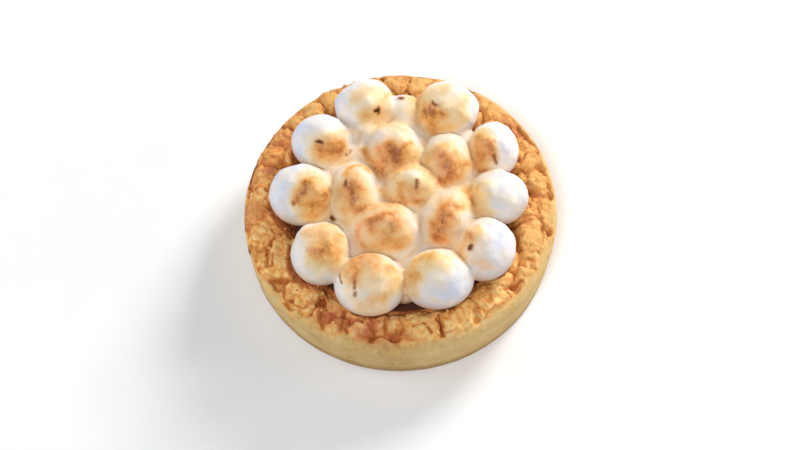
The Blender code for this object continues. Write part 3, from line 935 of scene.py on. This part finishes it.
def build_case():
    """The pastry case: cracked lumps, crumbs and grain on its edge, and a nearly smooth pressed wall."""
    profile = case_profile()
    points, faces = turned_mesh(profile, CASE_COLUMNS)
    distance = np.hypot(points[:, 0], points[:, 1])
    bearing = np.arctan2(points[:, 1], points[:, 0])
    outward = np.stack([np.cos(bearing), np.sin(bearing), np.zeros(len(points))], axis=1)
    on_top = points[:, 2] > CRUST_HEIGHT - SHOULDER_ROUNDING
    edge = on_top & (distance > CRUMB_INNER_RADIUS - EDGE_MARGIN)

    # Relief of the crumbly edge
    limit = crumb_limit(bearing) + LIMIT_WAVER * noise(outward, *LIMIT_NOISE)
    fade_from, fade_to = LIMIT_FADE
    crumb = np.where(edge, fade(limit + fade_from, limit + fade_to, distance), 0.0)
    relief, crack, tag, crease = (np.zeros(len(points)) for _ in range(4))
    relief[edge], crack[edge], tag[edge], crease[edge] = lump_relief(points[edge], lump_centres())
    open_crack = fade(*OPEN_CRACK_RANGE, noise(points, *OPEN_CRACK_NOISE))
    crack_depth = crack * (CLOSED_CRACK_DEPTH + (1.0 - CLOSED_CRACK_DEPTH) * open_crack)
    first, second, crumb_tag = cell_noise(points, CRUMB_SIZE, CRUMB_SEED)
    gap = bell(second - first, GAP_WIDTH)
    grain_first, _, grain_tag = cell_noise(points, GRAIN_SIZE, GRAIN_SEED)
    height = relief - CRACK_DEPTH * crack_depth - CREASE_DEPTH * crease
    height += KNOB_RELIEF * noise(points, *KNOB_NOISE)
    broken = fade(*BROKEN_RANGE, noise(points, *BROKEN_GAP_NOISE))
    height += CRUMB_RELIEF * (CRUMB_MIDDLE - first) - GAP_DEPTH * gap * broken
    height += GRAIN_RELIEF * (GRAIN_MIDDLE - grain_first)
    points[:, 2] += np.where(edge, crumb * height, 0.0)
    sideways = noise(points, *SIDEWAYS_NOISE)[:, None] * outward * SIDEWAYS_REACH
    points += sideways * crumb[:, None]

    # The wall, a little out of round
    wall = distance > CRUMB_OUTER_RADIUS
    rounding = OUT_OF_ROUND * np.cos(2.0 * (bearing - math.radians(WIDEST_BEARING)))
    rounding += WALL_WAVE * noise(points, *WALL_NOISE)
    rounding += WALL_GRAIN * soft_noise(points, *WALL_GRAIN_NOISE)
    points += outward * (rounding * wall)[:, None]

    # The edge stays under the dollops that overhang it
    clear = np.full(len(points), FAR_CLEAR)
    for centre, radius in zip(CENTRES, RADII):
        away = np.hypot(points[:, 0] - centre[0], points[:, 1] - centre[1])
        under = edge & (away < radius)
        depth = DOLLOP_DEPTH * np.sqrt(np.maximum(0.0, 1.0 - (away / radius) ** 2))
        roof = centre[2] - depth - CRUST_CLEARANCE
        points[:, 2] = np.where(under, np.minimum(points[:, 2], roof), points[:, 2])
        clear = np.where(under, np.minimum(clear, roof - points[:, 2]), clear)
    case = mesh_object("pastry_case", points, faces)
    x, y = points[:, 0], points[:, 1]

    # Painted shade in cracks, hollows, gaps and creases, and a painted shadow line along the crumbs' rim
    hollow = fade(*HOLLOW_RANGE, height)
    brink = bell(distance - limit + BRINK_SHIFT, BRINK_WIDTH)
    brink *= fade(*BRINK_RANGE, noise(points, *BRINK_NOISE))
    crevice = crack * (CLOSED_CRACK_SHARE + (1.0 - CLOSED_CRACK_SHARE) * open_crack)
    crevice += HOLLOW_SHARE * hollow + BRINK_SHARE * brink + GAP_SHARE * gap * broken
    crevice = CREVICE_SHARE * np.clip(crevice + CREASE_SHARE * crease, 0.0, 1.0)
    crevice = np.maximum(crevice, CREASE_DARKNESS * crease)
    # Painted shadow where the crust meets the dollops: under their overhang, and in a wider band on their
    # left, where their shadows fall
    beside = np.min(np.linalg.norm(points[:, None, :2] - CENTRES[None, :, :2], axis=2) - RADII, axis=1)
    patchy = CONTACT_WAVER * noise(points, *CONTACT_NOISE)
    left = fade(*LEFT_RANGE, x) * fade(*LEFT_FRONT_RANGE, y)
    left *= fade(*LEFT_CONTACT_RANGE, beside + patchy)
    shaded = np.maximum(left, fade(*CONTACT_RANGE, clear + patchy))
    crevice = np.maximum(crevice, CONTACT_SHARE * shaded)
    # Painted shade: the well floor under the meringue, which lies in shadow, is coloured the darkest brown
    well = (points[:, 2] > FOOT_ROUNDING) & (distance < CRUMB_INNER_RADIUS)
    crevice = np.where(well, 1.0, crevice * crumb)

    # Where the crumb's colour shows, painted light that makes the front paler, painted shade that makes the
    # back and right duller, and how ruddy it is
    fade_from, fade_to = BLEND_FADE
    blend_noise = BLEND_WAVER * noise(points, *BLEND_NOISE)
    blend = fade(limit + fade_from, limit + fade_to, distance + blend_noise)
    blend = np.where(edge | well, np.maximum(blend, well), 0.0)
    # Painted light: the edge is paler towards the front, which the dollops shade from the key light
    paler = PALER_SHARE * fade(*PALER_RANGE, y) + PALER_START
    # Painted highlight: a lighter tone where the relief is highest, added to the lump, crumb and grain tones
    tag = paler + np.dot(TAG_SHARES, (tag, crumb_tag, grain_tag, fade(*CREST_RANGE, height)))
    # Painted shade: the back and right, which the key light lights most, get a duller colour
    duller = BACK_DULLNESS * fade(*BACK_RANGE, y)
    duller = np.maximum(duller, RIGHT_DULLNESS * fade(*RIGHT_RANGE, x))
    keep_values(case.data, crumb=blend, crevice=crevice, tag=tag, duller=duller)
    keep_values(case.data, height=points[:, 2], ruddy=ruddy_share(points))
    case.data.materials.append(pastry_material())
    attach(case, "root")
    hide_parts("crust")
    return case, crumb


def unit_ball(create, **shape):
    """The points of a ball of radius 1 and its faces."""
    ball = bmesh.new()
    create(ball, radius=1.0, **shape)
    ways = np.array([tuple(v.co) for v in ball.verts])
    faces = [tuple(v.index for v in face.verts) for face in ball.faces]
    ball.free()
    return ways, faces


def repeated_faces(faces, ways, count):
    """The faces of so many balls whose points follow each other."""
    return [tuple(index + i * len(ways) for index in face) for i in range(count) for face in faces]


def build_loose_crumbs(case, crumb):
    """Small rough grains that lie on the crumbly edge, joined in one mesh."""
    points, normals = vertex_values(case.data, "co"), vertex_values(case.data, "normal")
    seats = np.flatnonzero(crumb > SEAT_CRUMB)
    chance = random.Random(LOOSE_SEED)
    ways, ball_faces = unit_ball(bmesh.ops.create_icosphere, subdivisions=2)
    all_points, tags = [], []
    for i in range(LOOSE_CRUMBS):
        seat = seats[chance.randrange(len(seats))]
        size = LOOSE_SMALLEST + (LOOSE_LARGEST - LOOSE_SMALLEST) * chance.random() ** SMALL_CRUMB_POWER
        stretch = np.array([chance.uniform(*LOOSE_STRETCH) for _ in range(3)])
        rough = 1.0 + LOOSE_ROUGHNESS * soft_noise(ways + i * LOOSE_STEP, *LOOSE_NOISE)
        grain = ways * rough[:, None] * stretch * size + points[seat] + normals[seat] * size * LOOSE_SINK
        all_points.append(grain)
        tags += [chance.random()] * len(ways)
    all_faces = repeated_faces(ball_faces, ways, LOOSE_CRUMBS)
    crumbs = mesh_object("loose_crumbs", np.concatenate(all_points), all_faces)
    keep_values(crumbs.data, tag=np.array(tags))
    crumbs.data.materials.append(crumb_material())
    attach(crumbs, "root")


def ball_reach(ways, i):
    """Distance from a dollop's centre to its surface in each direction."""
    long_bearing, stretch = DOLLOPS[i][5:]
    radius = RADII[i]
    turned = np.arctan2(ways[:, 1], ways[:, 0]) - math.radians(long_bearing)
    wide = radius * (1.0 + (stretch - 1.0) * np.cos(2.0 * turned))
    depth = np.where(ways[:, 2] > 0.0, radius * HEIGHT_OVER_RADIUS, DOLLOP_DEPTH)
    flat = (ways[:, 0] ** 2 + ways[:, 1] ** 2) / wide**2
    reach = 1.0 / np.sqrt(flat + ways[:, 2] ** 2 / depth**2)
    lean = np.arccos(np.clip(ways @ TIPS[i], -1.0, 1.0))
    fine = soft_noise(ways + i * FINE_STEP, *FINE_NOISE)
    wave = soft_noise(ways + i * BALL_STEP, *BALL_NOISE) + FINE_SHARE * fine
    reach *= 1.0 + BALL_WAVE * wave * fade(*WAVE_RANGE, ways[:, 2])
    return reach + TIP_RISE * bell(lean, TIP_SPREAD)


def union_of_balls():
    """One soft body: the dollops and the flat layer that fills the valleys between them."""
    ways, ball_faces = unit_ball(bmesh.ops.create_uvsphere, u_segments=BALL_SEGMENTS, v_segments=BALL_RINGS)
    layer_base = FILLING_LEVEL + CRUST_CLEARANCE
    half = 0.5 * (VALLEY_HEIGHT - layer_base)
    flat = np.hypot(ways[:, 0], ways[:, 1]) / VALLEY_RADIUS
    reach = (flat**VALLEY_POWER + np.abs(ways[:, 2] / half) ** VALLEY_POWER) ** (1.0 / VALLEY_POWER)
    layer = ways / reach[:, None]
    inward = 1.0 - np.minimum(1.0, np.hypot(layer[:, 0], layer[:, 1]) / VALLEY_RADIUS) ** 2
    layer[:, 2] += np.where(layer[:, 2] > 0.0, VALLEY_CROWN * inward, 0.0)
    bodies = [layer + (*VALLEY_CENTRE, layer_base + half)]
    for i, centre in enumerate(CENTRES):
        bodies.append(centre + ways * ball_reach(ways, i)[:, None])
    for x, y, height, radius in JOINS:
        bodies.append(ways * radius * MM + np.array((x, y, height)) * MM)
    faces = repeated_faces(ball_faces, ways, len(bodies))
    joined = mesh_object("meringue_balls", np.concatenate(bodies), faces)
    remesh = joined.modifiers.new("Union", "REMESH")
    remesh.mode = "VOXEL"
    remesh.voxel_size = MERINGUE_VOXEL
    soften = joined.modifiers.new("Soften", "SMOOTH")
    soften.factor = SOFTENING
    soften.iterations = SOFTENING_PASSES
    bpy.context.view_layer.update()
    graph = bpy.context.evaluated_depsgraph_get()
    body = bpy.data.meshes.new_from_object(joined.evaluated_get(graph))
    bpy.data.objects.remove(joined)
    body.name = "meringue"
    meringue = add_object("meringue", body)
    body.shade_smooth()
    return meringue


def place_on_dollop(number, across, up):
    """The point of a dollop that the photograph shows at (across, up), in shares of its radius."""
    out = math.hypot(across, up)
    across, up = across / max(1.0, out), up / max(1.0, out)
    near = math.sqrt(max(0.0, 1.0 - across**2 - up**2))
    way = np.array((across, 0.0, 0.0)) + up * np.array(UP_IN_VIEW) + near * np.array(TOWARD_CAMERA)
    return CENTRES[number - 1] + way * ball_reach(way[None, :], number - 1)[0]


def stroke_share(points, tree, route, half_width):
    """How strongly a stroke marks each point: 1 on its route, fading over its half width."""
    start, bend, end = route
    share = np.zeros(len(points))
    for t in np.linspace(0.0, 1.0, STROKE_STEPS):
        guide = (1.0 - t) ** 2 * start + 2.0 * t * (1.0 - t) * bend + t**2 * end
        seat = np.array(tree.find(guide)[0])
        near = np.flatnonzero(np.all(np.abs(points - seat) < STROKE_REACH * HALO * half_width, axis=1))
        away = np.linalg.norm(points[near] - seat, axis=1) / half_width
        mark = (1.0 - HALO_SHARE) * bell(away, 1.0) + HALO_SHARE * bell(away, HALO)
        share[near] = np.maximum(share[near], mark)
    return share


def brown_meringue(points):
    """How toasted, how red and how scorched each point of the meringue is; the scorch value also holds dots
    of painted shade in the gaps between dollops.
    """
    tree = KDTree(len(points))
    for i, point in enumerate(points):
        tree.insert(point, i)
    tree.balance()
    ragged = points + warp_noise(points, *STROKE_WARP, 3) * STROKE_WARP_REACH
    pale = np.ones(len(points))
    red = np.zeros(len(points))
    weight = np.full(len(points), 1e-6)
    strokes = [(number, stroke) for number, group in TOASTS.items() for stroke in group]
    for number, stroke in strokes:
        *places, half_width, strength, redness = (share / 100.0 for share in stroke)
        pairs = zip(places[::2], places[1::2])
        route = [place_on_dollop(number, across, up) for across, up in pairs]
        mark = strength * stroke_share(ragged, tree, route, half_width * RADII[number - 1])
        pale *= 1.0 - mark
        red += redness * mark
        weight += mark
    scorch = np.zeros(len(points))
    for number, *shares in SCORCHES:
        *places, half_width, strength = (share / 100.0 for share in shares)
        first, last = place_on_dollop(number, *places[:2]), place_on_dollop(number, *places[2:])
        route = (first, 0.5 * (first + last), last)
        mark = strength * stroke_share(ragged, tree, route, half_width * RADII[number - 1])
        scorch = np.maximum(scorch, mark)
    # Painted shade: near-black dots in the deepest gaps between dollops
    for x, y, half_width, strength in VALLEY_DOTS:
        place = np.array((x * MM, y * MM, VALLEY_HEIGHT))
        mark = strength * stroke_share(ragged, tree, (place, place, place), half_width * MM)
        scorch = np.maximum(scorch, mark)
    return 1.0 - pale, red / weight, scorch


def build_meringue():
    """The torched meringue: soft dollops that run together, browned in strokes and scorched marks."""
    meringue = union_of_balls()
    mesh = meringue.data
    points = vertex_values(mesh, "co")
    offsets = points[:, None, :] - CENTRES[None, :, :]
    lengths = np.linalg.norm(offsets, axis=2)
    power = lengths - RADII[None, :]
    order = np.argsort(power, axis=1)[:, :2]
    rows = np.arange(len(points))
    owner = order[:, 0]
    margin = power[rows, order[:, 1]] - power[rows, owner]
    ways = offsets[rows, owner] / lengths[rows, owner][:, None]
    toast, red, scorch = brown_meringue(points)

    lift = SWELL * noise(points, *SWELL_NOISE) - SCORCH_SINK * scorch
    lift += WRINKLE * noise(points, *WRINKLE_NOISE) * (UNTOASTED_WRINKLE + toast)
    upper = fade(*UPPER_RANGE, ways[:, 2])
    points = points + ways * (lift * upper)[:, None]
    mesh.vertices.foreach_set("co", points.ravel())
    mesh.update()
    inner = fade(*INNER_RANGE, np.hypot(points[:, 0], points[:, 1]))
    inside = OUTER_SHARE + (1.0 - OUTER_SHARE) * inner
    valley = (1.0 - fade(*VALLEY_RANGE, margin)) * upper
    # Painted shade in the narrow valleys where dollops meet, broken up by noise
    fold = (1.0 - fade(*FOLD_RANGE, margin)) * upper * inside
    fold *= fade(*FOLD_BREAKS, noise(points, *FOLD_NOISE))
    # Cream on the inner part, and painted shade in the valleys between dollops
    cream = np.clip(VALLEY_CREAM * valley * inside + INNER_CREAM * inner, 0.0, 1.0)
    # Painted shade: how far down each outer dollop gets the warm tan of shade and crust reflection
    low = fade(*LOW_RANGE, points[:, 2]) * (1.0 - inner)
    keep_values(mesh, toast=toast, red=red, scorch=scorch, cream=cream, low=low, fold=fold)
    mesh.materials.append(meringue_material())
    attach(meringue, "root")
    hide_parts(*[f"meringue_dollop_{i + 1:02d}" for i in range(len(DOLLOPS))])


def floor_material():
    nodes = Nodes("white_table")
    grain = nodes.noise(FLOOR_GRAIN_SIZE, detail=2.0)
    rough = nodes.spread(grain, *FLOOR_ROUGHNESS)
    return nodes.finish(nodes.ramp(grain, FLOOR_STOPS), rough, nodes.bump(grain, 0.01 * MM, 0.1))


def build_floor():
    bpy.ops.mesh.primitive_plane_add(size=FLOOR_SIZE, location=(0.0, 0.0, -FLOOR_GAP))
    floor = bpy.context.active_object
    floor.name = "floor"
    floor.data.materials.append(floor_material())


def build_light():
    for name, bearing, elevation, distance, size, power, colour in LIGHTS:
        lamp = bpy.data.lights.new(name, "AREA")
        lamp.shape = "DISK"
        lamp.size = size
        lamp.energy = power
        lamp.color = colour
        holder = add_object(name, lamp)
        place = Vector(direction(bearing, 90.0 - elevation)) * distance
        holder.location = place
        holder.rotation_euler = (-place).to_track_quat("-Z", "Y").to_euler()
    world = bpy.data.worlds.new("studio")
    world.use_nodes = True
    background = world.node_tree.nodes["Background"]
    background.inputs["Color"].default_value = SKY_COLOUR
    background.inputs["Strength"].default_value = SKY_STRENGTH
    bpy.context.scene.world = world
    bpy.context.scene.view_settings.view_transform = "Standard"
    bpy.context.scene.view_settings.look = "None"


def build_camera():
    target = Vector((0.0, 0.0, VIEW_TARGET_HEIGHT))
    back = Vector(TOWARD_CAMERA)
    lens = bpy.data.cameras.new("camera")
    lens.lens = LENS
    lens.sensor_width = SENSOR_WIDTH
    lens.clip_start = NEAREST_SEEN
    lens.shift_x = (PHOTO_CENTRE[0] - TARGET_IN_PHOTO[0]) / PHOTO_WIDTH
    lens.shift_y = (TARGET_IN_PHOTO[1] - PHOTO_CENTRE[1]) / PHOTO_WIDTH
    camera = add_object("camera", lens)
    camera.location = target + back * VIEW_DISTANCE
    camera.rotation_euler = (-back).to_track_quat("-Z", "Y").to_euler()
    bpy.context.scene.camera = camera


build_camera()
build_light()
build_floor()
pastry, crumb_share = build_case()
build_loose_crumbs(pastry, crumb_share)
build_meringue()
